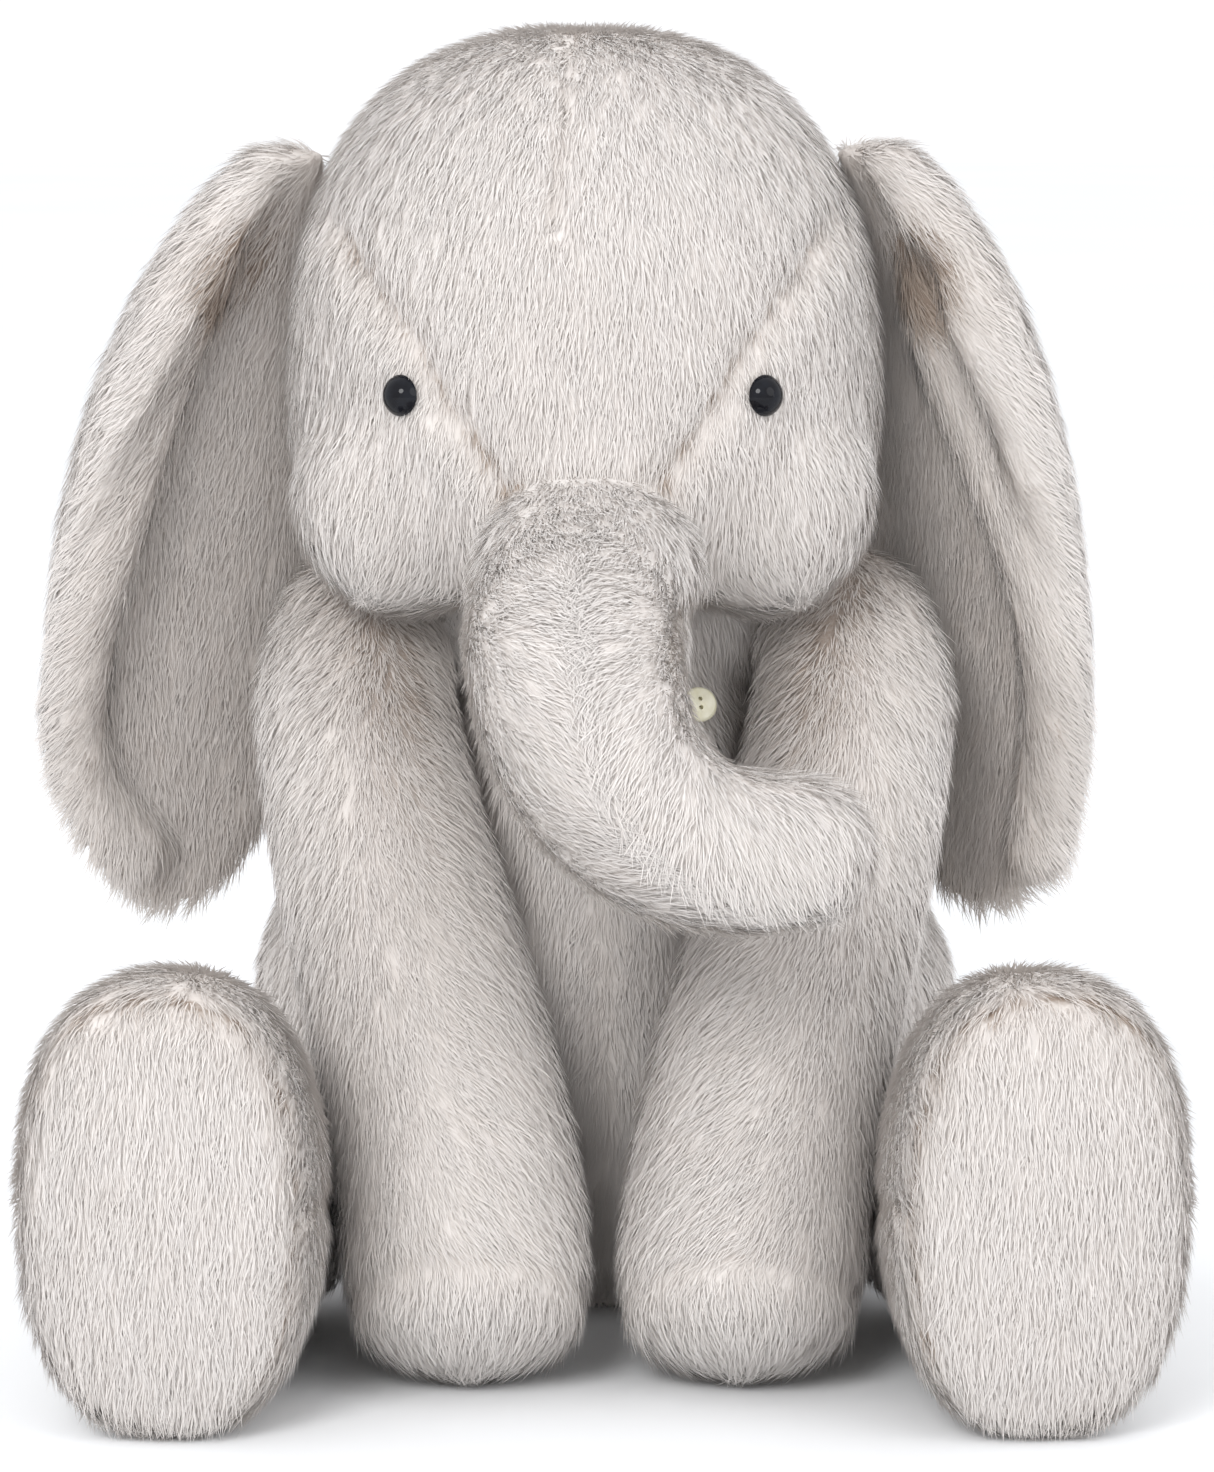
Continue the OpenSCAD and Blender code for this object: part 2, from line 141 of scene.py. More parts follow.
def mottled(name, scale, stops, roughness, specular=0.5):
    """A plain finish whose colour wanders a little over the piece."""
    finish, finish_nodes, links, shader = material(name)
    cloud = object_noise(finish_nodes, links, scale)
    links.new(colour_run(finish_nodes, links, cloud, stops), shader.inputs["Base Color"])
    shader.inputs["Roughness"].default_value = roughness
    shader.inputs["Specular IOR Level"].default_value = specular
    return finish


print("helpers for finishes are ready")

# %% The pile
ROOT_COLOUR = (0.42, 0.345, 0.29)
MIDDLE_COLOUR = (0.665, 0.62, 0.585)
TIP_COLOUR = (0.71, 0.675, 0.65)
ALONG_SHARE = 0.45
PATCH_SHARE = 0.3
LIGHTNESS_AT_ROOT = 0.2


def faux_fur():
    """Browner at the root of each fibre and paler at its tip, with soft patches over the cloth."""
    finish, fur_nodes, links, shader = material("faux_fur")
    patch = object_noise(fur_nodes, links, 90.0)
    along = arithmetic(fur_nodes, links, "MULTIPLY", named_value(fur_nodes, "along"), ALONG_SHARE)
    patches = arithmetic(fur_nodes, links, "MULTIPLY", patch, PATCH_SHARE)
    lightness = arithmetic(fur_nodes, links, "ADD", along, patches)
    lightness = arithmetic(fur_nodes, links, "ADD", lightness, LIGHTNESS_AT_ROOT)
    # The tone also holds painted shade in the ear hollows and painted light on the head's upward faces.
    lightness = arithmetic(fur_nodes, links, "ADD", lightness, named_value(fur_nodes, "tone"))
    stops = [(0.0, ROOT_COLOUR), (0.30, MIDDLE_COLOUR), (0.85, TIP_COLOUR)]
    links.new(colour_run(fur_nodes, links, lightness, stops), shader.inputs["Base Color"])
    shader.inputs["Roughness"].default_value = 0.9
    shader.inputs["Specular IOR Level"].default_value = 0.15
    shader.inputs["Sheen Weight"].default_value = 0.25
    shader.inputs["Sheen Roughness"].default_value = 0.5
    return finish


fur = faux_fur()
print("fur is ready")

# %% The knitted backing under the pile
SEAM_COLOUR = (0.30, 0.235, 0.19)
KNIT_COLOUR = (0.72, 0.68, 0.65)
KNIT_LIGHTNESS = 0.7
WEAVE_SHARE = 0.2


def knitted_backing():
    """The cloth that the pile grows from, which looks dark where a seam pulls it in, with painted shade in
    the ear hollows and painted light on the head's upward faces.
    """
    finish, knit_nodes, links, shader = material("knitted_backing")
    weave = object_noise(knit_nodes, links, 1400.0, 1.0)
    lightness = arithmetic(knit_nodes, links, "MULTIPLY", weave, WEAVE_SHARE)
    lightness = arithmetic(knit_nodes, links, "ADD", lightness, KNIT_LIGHTNESS)
    # Painted shade in the ear hollows and painted light on the head's upward faces come in here too.
    lightness = arithmetic(knit_nodes, links, "SUBTRACT", lightness, named_value(knit_nodes, "brown"))
    stops = [(0.1, SEAM_COLOUR), (0.6, MIDDLE_COLOUR), (0.9, KNIT_COLOUR)]
    links.new(colour_run(knit_nodes, links, lightness, stops), shader.inputs["Base Color"])
    shader.inputs["Roughness"].default_value = 0.95
    return finish


backing = knitted_backing()
print("backing is ready")

# %% [markdown]
# ## Skins
# A stuffed part has no corners: the filling pushes its panels into one smooth form. So the solids of each
# body are copied, merged into one closed surface and smoothed. Modelling by subdivision would look as
# smooth, but a skin made from the solids can't drift away from them. It is drawn in by a hair's breadth,
# because the pile stands on it.

# %% Making one closed skin from several solids
VOXEL = 0.0025
PILE_ROOM = 0.0002


def merged_copy(names, extra=(), swell=0.0):
    whole = bmesh.new()
    for name in names:
        whole.from_mesh(nodes[name].data)
    bmesh.ops.remove_doubles(whole, verts=whole.verts, dist=1e-6)
    whole.normal_update()
    for v in whole.verts:
        v.co += v.normal * swell
    for centre, radius in extra:
        made = bmesh.ops.create_icosphere(whole, subdivisions=3, radius=radius)
        bmesh.ops.translate(whole, verts=made["verts"], vec=Vector(centre))
    mesh = bpy.data.meshes.new("merged")
    whole.to_mesh(mesh)
    whole.free()
    return mesh


def largest_piece(mesh):
    whole = bmesh.new()
    whole.from_mesh(mesh)
    left = set(whole.verts)
    best = []
    while left:
        found = [left.pop()]
        for v in found:
            for e in v.link_edges:
                w = e.other_vert(v)
                if w in left:
                    left.remove(w)
                    found.append(w)
        if len(found) > len(best):
            best = found
    keep = set(best)
    bmesh.ops.delete(whole, geom=[v for v in whole.verts if v not in keep])
    whole.to_mesh(mesh)
    whole.free()


def closed_skin(name, names, extra=(), rounds=8, room=PILE_ROOM, voxel=VOXEL, swell=0.0):
    rough = bpy.data.objects.new(name, merged_copy(names, extra, swell))
    bpy.context.scene.collection.objects.link(rough)
    remesh = rough.modifiers.new("remesh", "REMESH")
    remesh.mode = "VOXEL"
    remesh.voxel_size = voxel
    remesh.use_smooth_shade = True
    smooth = rough.modifiers.new("smooth", "SMOOTH")
    smooth.factor = 0.5
    smooth.iterations = rounds
    graph = bpy.context.evaluated_depsgraph_get()
    mesh = bpy.data.meshes.new_from_object(rough.evaluated_get(graph), depsgraph=graph)
    bpy.data.objects.remove(rough)
    largest_piece(mesh)
    co = points_of(mesh)
    co -= normals_of(mesh) * room
    put_points(mesh, co)
    mesh.name = name
    return mesh


def points_of(mesh):
    co = np.empty(len(mesh.vertices) * 3)
    mesh.vertices.foreach_get("co", co)
    return co.reshape(-1, 3)


def normals_of(mesh):
    no = np.empty(len(mesh.vertices) * 3)
    mesh.vertices.foreach_get("normal", no)
    return no.reshape(-1, 3)


def put_points(mesh, co):
    mesh.vertices.foreach_set("co", co.ravel())
    mesh.update()


def middle_of(name):
    low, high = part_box(name)
    return np.array((low + high) / 2)


print("skins are closed in steps of", VOXEL * 1000, "mm")

# %% [markdown]
# ## Where the filling rounds out a corner
# At the trunk's root and at the neck two panels meet at a sharp inner corner, which stuffing would push
# out. A few balls placed there before the merge fill the corner, and the smoothing turns them into one
# soft form.

# %% Balls that fill the corners at the trunk's root and the neck
trunk_root = np.array(joints["trunk_lift"]["pos_m"])
neck_place = np.array(joints["head_nod"]["pos_m"])
AROUND_TRUNK_ROOT = [([-0.009, -0.002, 0.010], 0.0165), ([0.011, -0.002, 0.010], 0.0165),
                     ([0, 0.040, 0.020], 0.032), ([-0.037, 0.046, 0.020], 0.027),
                     ([0.037, 0.046, 0.020], 0.027)]
AROUND_NECK = [([0, 0.002, -0.006], 0.032), ([0.026, 0.004, -0.004], 0.021),
               ([-0.026, 0.004, -0.004], 0.021), ([0.012, 0.0, -0.022], 0.025)]
FILL_IN = {"head": [(trunk_root + shift, radius) for shift, radius in AROUND_TRUNK_ROOT],
           "torso": [(neck_place + shift, radius) for shift, radius in AROUND_NECK]}
print("balls:", {key: len(balls) for key, balls in FILL_IN.items()})

# %% [markdown]
# ## The plump rim of the ears
# An ear is two layers sewn together and turned, so its rim is thick with seam allowance. A row of balls
# along the front edge gives it that roll. Their places follow a smooth curve through the edge, so the rim
# isn't wavy.

# %% Balls along the rim of an ear
RIM_RADIUS = 0.0075
RIM_STEPS = 40
RIM_BELOW_TOP = 0.022
RIM_ABOVE_TIP = 0.012
RIM_INSET = 0.003
RIM_CURVE_DEGREE = 4
POINTS_PER_STEP = 9


def rim_balls(key):
    """Balls along the ear's outermost and most forward points."""
    places = np.array([v.co for v in nodes["ear_inner_" + key[4:]].data.vertices])
    side = np.sign(places[:, 0].mean())
    lowest, highest = places[:, 2].min() + RIM_ABOVE_TIP, places[:, 2].max() - RIM_BELOW_TOP
    heights = np.linspace(lowest, highest, RIM_STEPS)
    rows = [places[np.argsort(np.abs(places[:, 2] - z))[:POINTS_PER_STEP]] for z in heights]
    rim = np.array([row[np.argmax(side * row[:, 0] - row[:, 1])] for row in rows])
    bend = [np.polyval(np.polyfit(heights, rim[:, axis], RIM_CURVE_DEGREE), heights) for axis in (0, 1)]
    return [((x - side * RIM_INSET, y + RIM_INSET, z), RIM_RADIUS) for x, y, z in zip(*bend, heights)]


for key in ("ear_left", "ear_right"):
    FILL_IN[key] = rim_balls(key)
print("rim balls on each ear:", len(FILL_IN["ear_left"]))

# %% [markdown]
# ## The nine skins
# The head and the trunk share one skin, because the trunk's cloth runs on into the face. The ears are
# thin, so they are swelled before the merge and closed with finer steps.

# %% Making the skins
HARD_PIECES = ("chest_button", "button_thread", "bean_pouch")
EAR_LOOK = {"rounds": 10, "room": 0.0, "voxel": 0.0018, "swell": 0.0030}
SMOOTH_ROUNDS = {"head": 14}


def is_filling(name):
    return "stuffing" in name or name == "bean_pouch"


def is_cover(name):
    return name not in HARD_PIECES and not name.startswith("eye_") and not is_filling(name)


cover_nodes = {body: [n for n in names if is_cover(n)] for body, names in bodies.items()}
skin_bodies = {"head": ["head", "trunk"], **{b: [b] for b in bodies if b not in ("head", "trunk")}}
panels = {key: [n for body in parts for n in cover_nodes[body]] for key, parts in skin_bodies.items()}
fillings = {key: [n for body in parts for n in bodies[body] if is_filling(n)]
            for key, parts in skin_bodies.items()}
skins = {}
for key in skin_bodies:
    if key.startswith("ear"):
        skins[key] = closed_skin(key, panels[key], FILL_IN[key], **EAR_LOOK)
    else:
        solids = panels[key] + fillings[key]
        skins[key] = closed_skin(key, solids, FILL_IN.get(key, []), rounds=SMOOTH_ROUNDS.get(key, 8))
print("skins, vertices:", {key: len(m.vertices) for key, m in skins.items()})

# %% [markdown]
# ## Seams and nap
# Faux fur has a nap: the fibres all lie one way along the cloth. On a toy the nap runs away from where a
# part is sewn on, down a limb and down the face. Near a seam the pile is trimmed shorter and turns away
# from the stitch line, and the cloth itself is pulled into a groove. Both come from how far a point is
# from the neighbouring panel.

# %% Which panel a point belongs to, and how far it is from the next one
def tree_of(name):
    mesh = nodes[name].data
    return BVHTree.FromPolygons([v.co for v in mesh.vertices], [p.vertices[:] for p in mesh.polygons])


FARTHEST_PANEL = 0.06
trees = {name: tree_of(name) for names in cover_nodes.values() for name in names}
print("panels to measure from:", len(trees))


def panel_distances(co, names):
    """For each point, the distance to each panel and the nearest place on it."""
    distance = np.full((len(names), len(co)), 1.0)
    nearest = np.zeros((len(names), len(co), 3))
    for i, name in enumerate(names):
        for j, p in enumerate(co):
            place, _, _, d = trees[name].find_nearest(Vector(p), FARTHEST_PANEL)
            if place is not None:
                distance[i, j], nearest[i, j] = d, place
    return distance, nearest


# %% Neighbours on a mesh, walking distances, and a smooth direction field
def neighbours(mesh):
    e = np.empty(len(mesh.edges) * 2, dtype=np.int64)
    mesh.edges.foreach_get("vertices", e)
    return e.reshape(-1, 2)


def walked(mesh, edges, sources):
    """How far each point is from the sources, walking along the skin."""
    co = points_of(mesh)
    length = np.linalg.norm(co[edges[:, 0]] - co[edges[:, 1]], axis=1)
    links = [[] for _ in co]
    for (a, c), d in zip(edges.tolist(), length.tolist()):
        links[a].append((c, d))
        links[c].append((a, d))
    far = [math.inf] * len(co)
    queue = []
    for s in sources:
        far[s] = 0.0
        queue.append((0.0, int(s)))
    heapq.heapify(queue)
    while queue:
        d, i = heapq.heappop(queue)
        if d > far[i]:
            continue
        for k, w in links[i]:
            if d + w < far[k]:
                far[k] = d + w
                heapq.heappush(queue, (d + w, k))
    return np.array(far)


def spread(edges, values, rounds):
    """Averages a value or a vector with its neighbours."""
    count = np.zeros(len(values))
    np.add.at(count, edges[:, 0], 1)
    np.add.at(count, edges[:, 1], 1)
    count = count.reshape((-1,) + (1,) * (values.ndim - 1))
    for _ in range(rounds):
        total = np.zeros_like(values)
        np.add.at(total, edges[:, 0], values[edges[:, 1]])
        np.add.at(total, edges[:, 1], values[edges[:, 0]])
        values = 0.5 * values + 0.5 * total / count
    return values


def tangent(vectors, normals):
    flat = vectors - normals * np.sum(vectors * normals, axis=1, keepdims=True)
    return flat / np.maximum(np.linalg.norm(flat, axis=1, keepdims=True), 1e-9)


def away_from_root(mesh, edges, root):
    """The way along the skin that leads away from a root point."""
    co = points_of(mesh)
    near = np.argsort(np.linalg.norm(co - root, axis=1))[:max(12, len(co) // 60)]
    far = spread(edges, walked(mesh, edges, near), 4)
    step = co[edges[:, 1]] - co[edges[:, 0]]
    slope = (far[edges[:, 1]] - far[edges[:, 0]]) / np.maximum(np.sum(step * step, axis=1), 1e-12)
    way = np.zeros_like(co)
    np.add.at(way, edges[:, 0], step * slope[:, None])
    np.add.at(way, edges[:, 1], step * slope[:, None])
    return tangent(spread(edges, tangent(way, normals_of(mesh)), 12), normals_of(mesh))


print("neighbours, walking distances and directions are ready")

# %% [markdown]
# ## Blown-up panels
# Real panels are cut flat and the filling blows them up between the seams. A coarse copy of each skin is
# held along its seams and inflated as cloth, and the skin takes over how far each place moved. Displacing
# the points by hand would be quicker, but cloth pulls tight between its seams by itself.

# %% Inflating the panels between their seams
CLOTH_VOXEL = 0.005
CLOTH_FRAMES = 16
CLOTH_PRESSURE = 12.0
MOST_MOVE = 0.0015


def coarse_copy(mesh):
    holder = bpy.data.objects.new("coarse", mesh.copy())
    bpy.context.scene.collection.objects.link(holder)
    remesh = holder.modifiers.new("remesh", "REMESH")
    remesh.mode = "VOXEL"
    remesh.voxel_size = CLOTH_VOXEL
    graph = bpy.context.evaluated_depsgraph_get()
    coarse = bpy.data.meshes.new_from_object(holder.evaluated_get(graph), depsgraph=graph)
    bpy.data.objects.remove(holder)
    return coarse


def inflate(key):
    coarse = coarse_copy(skins[key])
    before = points_of(coarse)
    near = np.sort(panel_distances(before, panels[key])[0], axis=0)
    held = [i for i, gap in enumerate(near[1] - near[0]) if gap < CLOTH_VOXEL / 2] if len(near) > 1 else []
    pad = bpy.data.objects.new(key + "_cloth", coarse)
    bpy.context.scene.collection.objects.link(pad)
    pad.vertex_groups.new(name="seams").add(held, 1.0, "REPLACE")
    cloth = pad.modifiers.new("cloth", "CLOTH")
    cloth.settings.use_pressure = True
    cloth.settings.uniform_pressure_force = CLOTH_PRESSURE
    cloth.settings.effector_weights.gravity = 0
    cloth.settings.vertex_group_mass = "seams"
    cloth.collision_settings.use_collision = False
    cloth.point_cache.frame_start, cloth.point_cache.frame_end = 1, CLOTH_FRAMES
    for frame_number in range(1, CLOTH_FRAMES + 1):
        bpy.context.scene.frame_set(frame_number)
    graph = bpy.context.evaluated_depsgraph_get()
    moved = points_of(bpy.data.meshes.new_from_object(pad.evaluated_get(graph), depsgraph=graph)) - before
    bpy.data.objects.remove(pad)
    length = np.linalg.norm(moved, axis=1, keepdims=True)
    moved *= np.minimum(1, MOST_MOVE / np.maximum(length, 1e-9))
    lookup = KDTree(len(before))
    for i, p in enumerate(before):
        lookup.insert(p, i)
    lookup.balance()
    mesh = skins[key]
    co = points_of(mesh)
    shift = np.array([moved[lookup.find(p)[1]] for p in co])
    put_points(mesh, co + spread(neighbours(mesh), shift, 4))
    return float(length.max())


for key in skins:
    if len(panels[key]) > 1 and not key.startswith("ear"):
        print("cloth on", key, "moved at most, mm:", round(inflate(key) * 1000, 2))
bpy.context.scene.frame_set(1)

# %% [markdown]
# ## From the face into the trunk, and the shoulders
# The trunk's cloth runs out of the face without a step, so the skin is smoothed once more just there. The
# shoulders are only loosely filled: the head rests on them and they slump down and in under the cheeks.

# %% Letting the trunk grow out of the face without a step
FILLET_ROUNDS = 60
FILLET_CENTRE = trunk_root + [0, 0.012, 0.004]
FILLET_REACH = 0.026
FILLET_FADE = 0.014
FILLET_AHEAD = 0.034


def blend_trunk_in(mesh):
    edges = neighbours(mesh)
    co = points_of(mesh)
    beyond = np.maximum(np.linalg.norm(co - FILLET_CENTRE, axis=1) - FILLET_REACH, 0)
    share = np.exp(-(beyond / FILLET_FADE) ** 2)[:, None] * (co[:, 1:2] > trunk_root[1] - FILLET_AHEAD)
    share = spread(edges, share.astype(float), 6)
    for _ in range(FILLET_ROUNDS):
        co = co + (spread(edges, co, 1) - co) * share
    put_points(mesh, co)
    return int((share > 0.5).sum())


print("trunk blended over", blend_trunk_in(skins["head"]), "points")

# %% Letting the shoulders slump under the cheeks
SLUMP_FROM, SLUMP_OVER = 0.140, 0.040
SLUMP_DOWN, SLUMP_IN = 0.010, 0.003
for key, side in (("arm_left", 1), ("arm_right", -1)):
    co = points_of(skins[key])
    drop = np.clip((co[:, 2] - SLUMP_FROM) / SLUMP_OVER, 0, 1)
    co[:, 2] -= SLUMP_DOWN * drop
    co[:, 0] -= side * SLUMP_IN * drop
    put_points(skins[key], co)
    print(key, "slumps at", int((drop > 0).sum()), "points")

# %% [markdown]
# ## Combing
# Every skin is first laid out: each point learns its own panel, how far the next panel is, and which way
# leads away from it. Each kind of part then has its own comb, which gives the way that the pile lies.

# %% Laying a skin out for combing
DOWN = np.array([0.0, 0.0, -1.0])
RIGHT = np.array([1.0, 0.0, 0.0])
SEAM_DEPTH = 0.0014
NO_SEAM = 1.0
head_x = joints["head_nod"]["pos_m"][0]


def bump(x, width):
    """1 at zero, falling away smoothly over the width."""
    return np.exp(-(x / width) ** 2)


def limb_joint(body):
    return np.array([j for j in joints.values() if j["child"] == body][0]["pos_m"])


def laid_out(key):
    mesh, names = skins[key], panels[key]
    edges = neighbours(mesh)
    co = points_of(mesh)
    distance, nearest = panel_distances(co, names)
    order = np.argsort(distance, axis=0)
    own, rows = order[0], np.arange(len(co))
    seam, away = np.full(len(co), NO_SEAM), np.zeros_like(co)
    if len(names) > 1 and not key.startswith("ear"):
        seam = distance[order[1], rows] - distance[own, rows]
        away = co - nearest[order[1], rows]
    return SimpleNamespace(key=key, kind=key.split("_")[0], side=key.split("_")[-1], mesh=mesh, names=names,
                           edges=edges, co=co, no=normals_of(mesh), x=co[:, 0], own=own,
                           seam=spread(edges, seam, 2), away=away, depth=np.full(len(co), SEAM_DEPTH),
                           brown=np.zeros(len(co)), pile=np.ones(len(co)))


print("head's middle at x =", round(head_x, 4))

# %% [markdown]
# On the head the pile runs down and fans out from the middle of the brow. On the trunk it turns and runs
# along it.

# %% Combs for the head and the body
FACE_FAN = 9
BODY_FAN = 3
CROWN_FORWARD = np.array([0.0, -0.55, 0.0])
TRUNK_TURN_FROM = 0.012
TRUNK_TURN_OVER = 0.04
TRUNK_PULL = 3


def comb_head(skin):
    way = DOWN + ((skin.x - head_x) * FACE_FAN)[:, None] * RIGHT + CROWN_FORWARD
    skin.on_trunk = np.isin(skin.own, [skin.names.index("trunk_top"), skin.names.index("trunk_under")])
    ahead = (trunk_root[1] - TRUNK_TURN_FROM - skin.co[:, 1]) / TRUNK_TURN_OVER
    hanging = np.clip(ahead, 0, 1) * skin.on_trunk
    return way + away_from_root(skin.mesh, skin.edges, trunk_root) * (hanging * TRUNK_PULL)[:, None]


def comb_torso(skin):
    return DOWN + (skin.x * BODY_FAN)[:, None] * RIGHT


print("pile fans out by", FACE_FAN, "on the head and", BODY_FAN, "on the body")

# %% [markdown]
# On a limb, an ear or the tail the pile runs away from where it is sewn on. An ear is gathered at its
# root, so it has a pleat there with browner pile, and its hollow inside gets painted shade: darker pile.

# %% Combs for the tail and the ears
EAR_OUTWARDS = 0.25
EAR_DOWNWARDS = 0.3
PLEAT_SHIFT = (0.009, -0.014, -0.026)
PLEAT_DEPTH = 0.004
PLEAT_WIDTH = 0.009
PLEAT_BROWN = 0.8
# How much painted shade the hollow inside of an ear gets.
HOLLOW_PAINTED_SHADE = 0.3


def comb_limb(skin):
    return away_from_root(skin.mesh, skin.edges, limb_joint(skin.key))


def comb_ear(skin):
    out = np.sign(skin.x.mean() - head_x)
    way = comb_limb(skin) + out * RIGHT * EAR_OUTWARDS + DOWN * EAR_DOWNWARDS
    centre = limb_joint(skin.key) + [out * PLEAT_SHIFT[0], PLEAT_SHIFT[1], PLEAT_SHIFT[2]]
    pleat = np.linalg.norm(skin.co - centre, axis=1)
    skin.brown += PLEAT_BROWN * bump(np.maximum(pleat - 0.006, 0), 0.010)
    skin.co = skin.co - skin.no * (PLEAT_DEPTH * bump(pleat, PLEAT_WIDTH))[:, None]
    inner = skin.own == skin.names.index("ear_inner_" + skin.side)
    # Painted shade: the forward-facing hollow inside of the ear is darkened, as its rim shades it.
    shaded_hollow = inner * (skin.no[:, 1] < 0) * (skin.no[:, 0] * out < 0.25)
    skin.brown += HOLLOW_PAINTED_SHADE * spread(skin.edges, shaded_hollow.astype(float), 8)
    return way


print("pleat of", PLEAT_DEPTH * 1000, "mm at the root of each ear")

# %% [markdown]
# The pile on the front of an arm parts along a line from the shoulder to the paw, where its brown roots
# show. On a leg it leans down, and on the paw pads and soles it lies straight down.

# %% Combs for the arms and the legs
PARTING_PUSH = 0.5
PARTING_BROWN = 0.55
PAW_FORWARD = np.array([0.0, -0.4, 0.0])
LEG_DOWNWARDS = 0.8


def comb_arm(skin):
    way = comb_limb(skin)
    pad = "paw_pad_" + skin.side
    top, bottom = limb_joint(skin.key), middle_of(pad)
    fallen = np.clip((top[2] - skin.co[:, 2]) / (top[2] - bottom[2]), 0, 1)
    aside = skin.x - (top[0] + (bottom[0] - top[0]) * np.sqrt(fallen))
    parted = (skin.no[:, 1] < 0.3) * np.clip(1.15 - fallen * 1.5, 0, 1)
    way = way + (np.sign(aside) * bump(aside, 0.012) * parted * PARTING_PUSH)[:, None] * RIGHT
    skin.brown += PARTING_BROWN * parted * bump(aside, 0.016)
    way[skin.own == skin.names.index(pad)] = DOWN + PAW_FORWARD
    return way


def comb_leg(skin):
    way = comb_limb(skin) + DOWN * LEG_DOWNWARDS
    way[skin.own == skin.names.index("sole_" + skin.side)] = DOWN
    return way


COMBS = {"head": comb_head, "torso": comb_torso, "ear": comb_ear, "arm": comb_arm, "leg": comb_leg,
         "tail": comb_limb}
print("combs:", ", ".join(COMBS))

# %% [markdown]
# The face has the seams that show most, and a short dart that runs down the middle of the forehead and
# shapes the brow. On the feet the sole's seam shows on the inner side and on top, and the pile hides it
# elsewhere.

# %% Seams of the face and the feet
FACE_FROM, FACE_OVER = -0.035, 0.02
DART_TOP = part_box("forehead_gusset")[1].z - 0.006
DART_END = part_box("forehead_gusset")[1].z - 0.043
DART_SHIFTS = (-0.003, -0.007)
DART_WIDTH = 0.0022
DART_BROWN = 0.45
DART_PUSH = 0.8


def sew_face(skin, way):
    front = np.clip((FACE_FROM - skin.co[:, 1]) / FACE_OVER, 0, 1)
    skin.closeness = skin.closeness * front * np.where(skin.on_trunk, 0.4, 1)
    skin.stitch = skin.stitch * front
    skin.depth = SEAM_DEPTH * (0.3 + 1.5 * front) * np.where(skin.on_trunk, 0.5, 1)
    drop = np.clip((DART_TOP - skin.co[:, 2]) / (DART_TOP - DART_END), 0, 1)
    aside = skin.x - (head_x + DART_SHIFTS[0] + (DART_SHIFTS[1] - DART_SHIFTS[0]) * drop)
    dart = bump(aside, DART_WIDTH) * (skin.no[:, 1] < 0) * np.clip((skin.co[:, 2] - DART_END) / 0.006, 0, 1)
    to_dart = np.abs(aside) + 0.002 * (1 - dart)
    skin.seam = np.where(dart > 0.02, np.minimum(skin.seam, to_dart), skin.seam)
    skin.brown += DART_BROWN * dart
    skin.pile *= 1 - 0.4 * dart
    return way + (np.sign(aside) * dart * DART_PUSH)[:, None] * RIGHT


def sew_foot(skin):
    foot = middle_of("sole_" + skin.side)
    inward = np.clip(-np.sign(foot[0]) * (skin.x - foot[0]) / 0.03, 0, 1)
    upward = np.clip((skin.co[:, 2] - foot[2]) / 0.05, 0, 1)
    shown = np.clip(0.1 + np.maximum(inward, upward), 0, 1)
    skin.closeness = skin.closeness * shown
    skin.stitch = skin.stitch * shown
    skin.depth = skin.depth * (0.3 + 0.7 * skin.closeness)


print("dart on the forehead, mm long:", round((DART_TOP - DART_END) * 1000, 1))

# %% [markdown]
# Near every seam the pile is shorter and its brown roots show, unevenly, as stitches catch some fibres
# and miss others. On the head the cloth that faces up gets painted light: its pile is made paler, as if
# lit from above. The cloth itself is pulled into a groove along the stitches.

# %% Colour and grooves along the seams
SEAM_WIDTH = 0.0035
CLOSE_WIDTH = 0.0045
STITCH_WIDTH = 0.0017
FLOOR_GAP = 0.0002
# How much painted light the upward-facing cloth of the head gets.
HEAD_TOP_PAINTED_LIGHT = 0.3
SEAM_BROWN = {"torso": 0.35, "arm": 0.45, "leg": 0.85}
UNEVEN_ONE = np.array([410.0, 530.0, 620.0])
UNEVEN_TWO = np.array([290.0, -350.0, 170.0])
eye_fronts = [np.array([middle_of(eye)[0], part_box(eye)[0].y, middle_of(eye)[2]])
              for eye in ("eye_left", "eye_right")]


def shade_seams(skin):
    skin.pile *= 1 - 0.25 * skin.closeness
    uneven = 0.65 + 0.35 * np.sin(skin.co @ UNEVEN_ONE) * np.sin(skin.co @ UNEVEN_TWO)
    skin.brown += (0.28 * skin.closeness + 0.80 * skin.stitch) * uneven * SEAM_BROWN.get(skin.kind, 1.0)
    if skin.kind == "head":
        for place in eye_fronts:
            from_eye = np.linalg.norm(skin.co - place, axis=1)
            skin.pile *= 1 - 0.25 * bump(np.maximum(from_eye - 0.006, 0), 0.005)
        # Painted light: cloth facing up is made paler, as if lit from above.
        skin.brown -= HEAD_TOP_PAINTED_LIGHT * np.clip((skin.no[:, 2] - 0.2) / 0.5, 0, 1)


def pull_seams_in(skin):
    groove = skin.depth * bump(np.maximum(skin.seam, 0), SEAM_WIDTH)
    co = skin.co - skin.no * groove[:, None]
    co[:, 2] = np.maximum(co[:, 2], FLOOR_GAP)
    put_points(skin.mesh, co)


print("eyes face forward at y =", [round(float(p[1]), 4) for p in eye_fronts])

# %% Combing each body
SEAM_PUSH = 0.6


def keep_on_points(skin, way):
    """Stores the pile's length, its brownness with painted shade and painted light, and its direction on the
    skin, for the planting tree.
    """
    for name, values in (("pile", skin.pile), ("brown", np.clip(skin.brown, -HEAD_TOP_PAINTED_LIGHT, 1))):
        stored = skin.mesh.attributes.new(name, "FLOAT", "POINT")
        stored.data.foreach_set("value", values.astype(np.float32))
    nap = skin.mesh.attributes.new("nap", "FLOAT_VECTOR", "POINT")
    nap.data.foreach_set("vector", way.astype(np.float32).ravel())


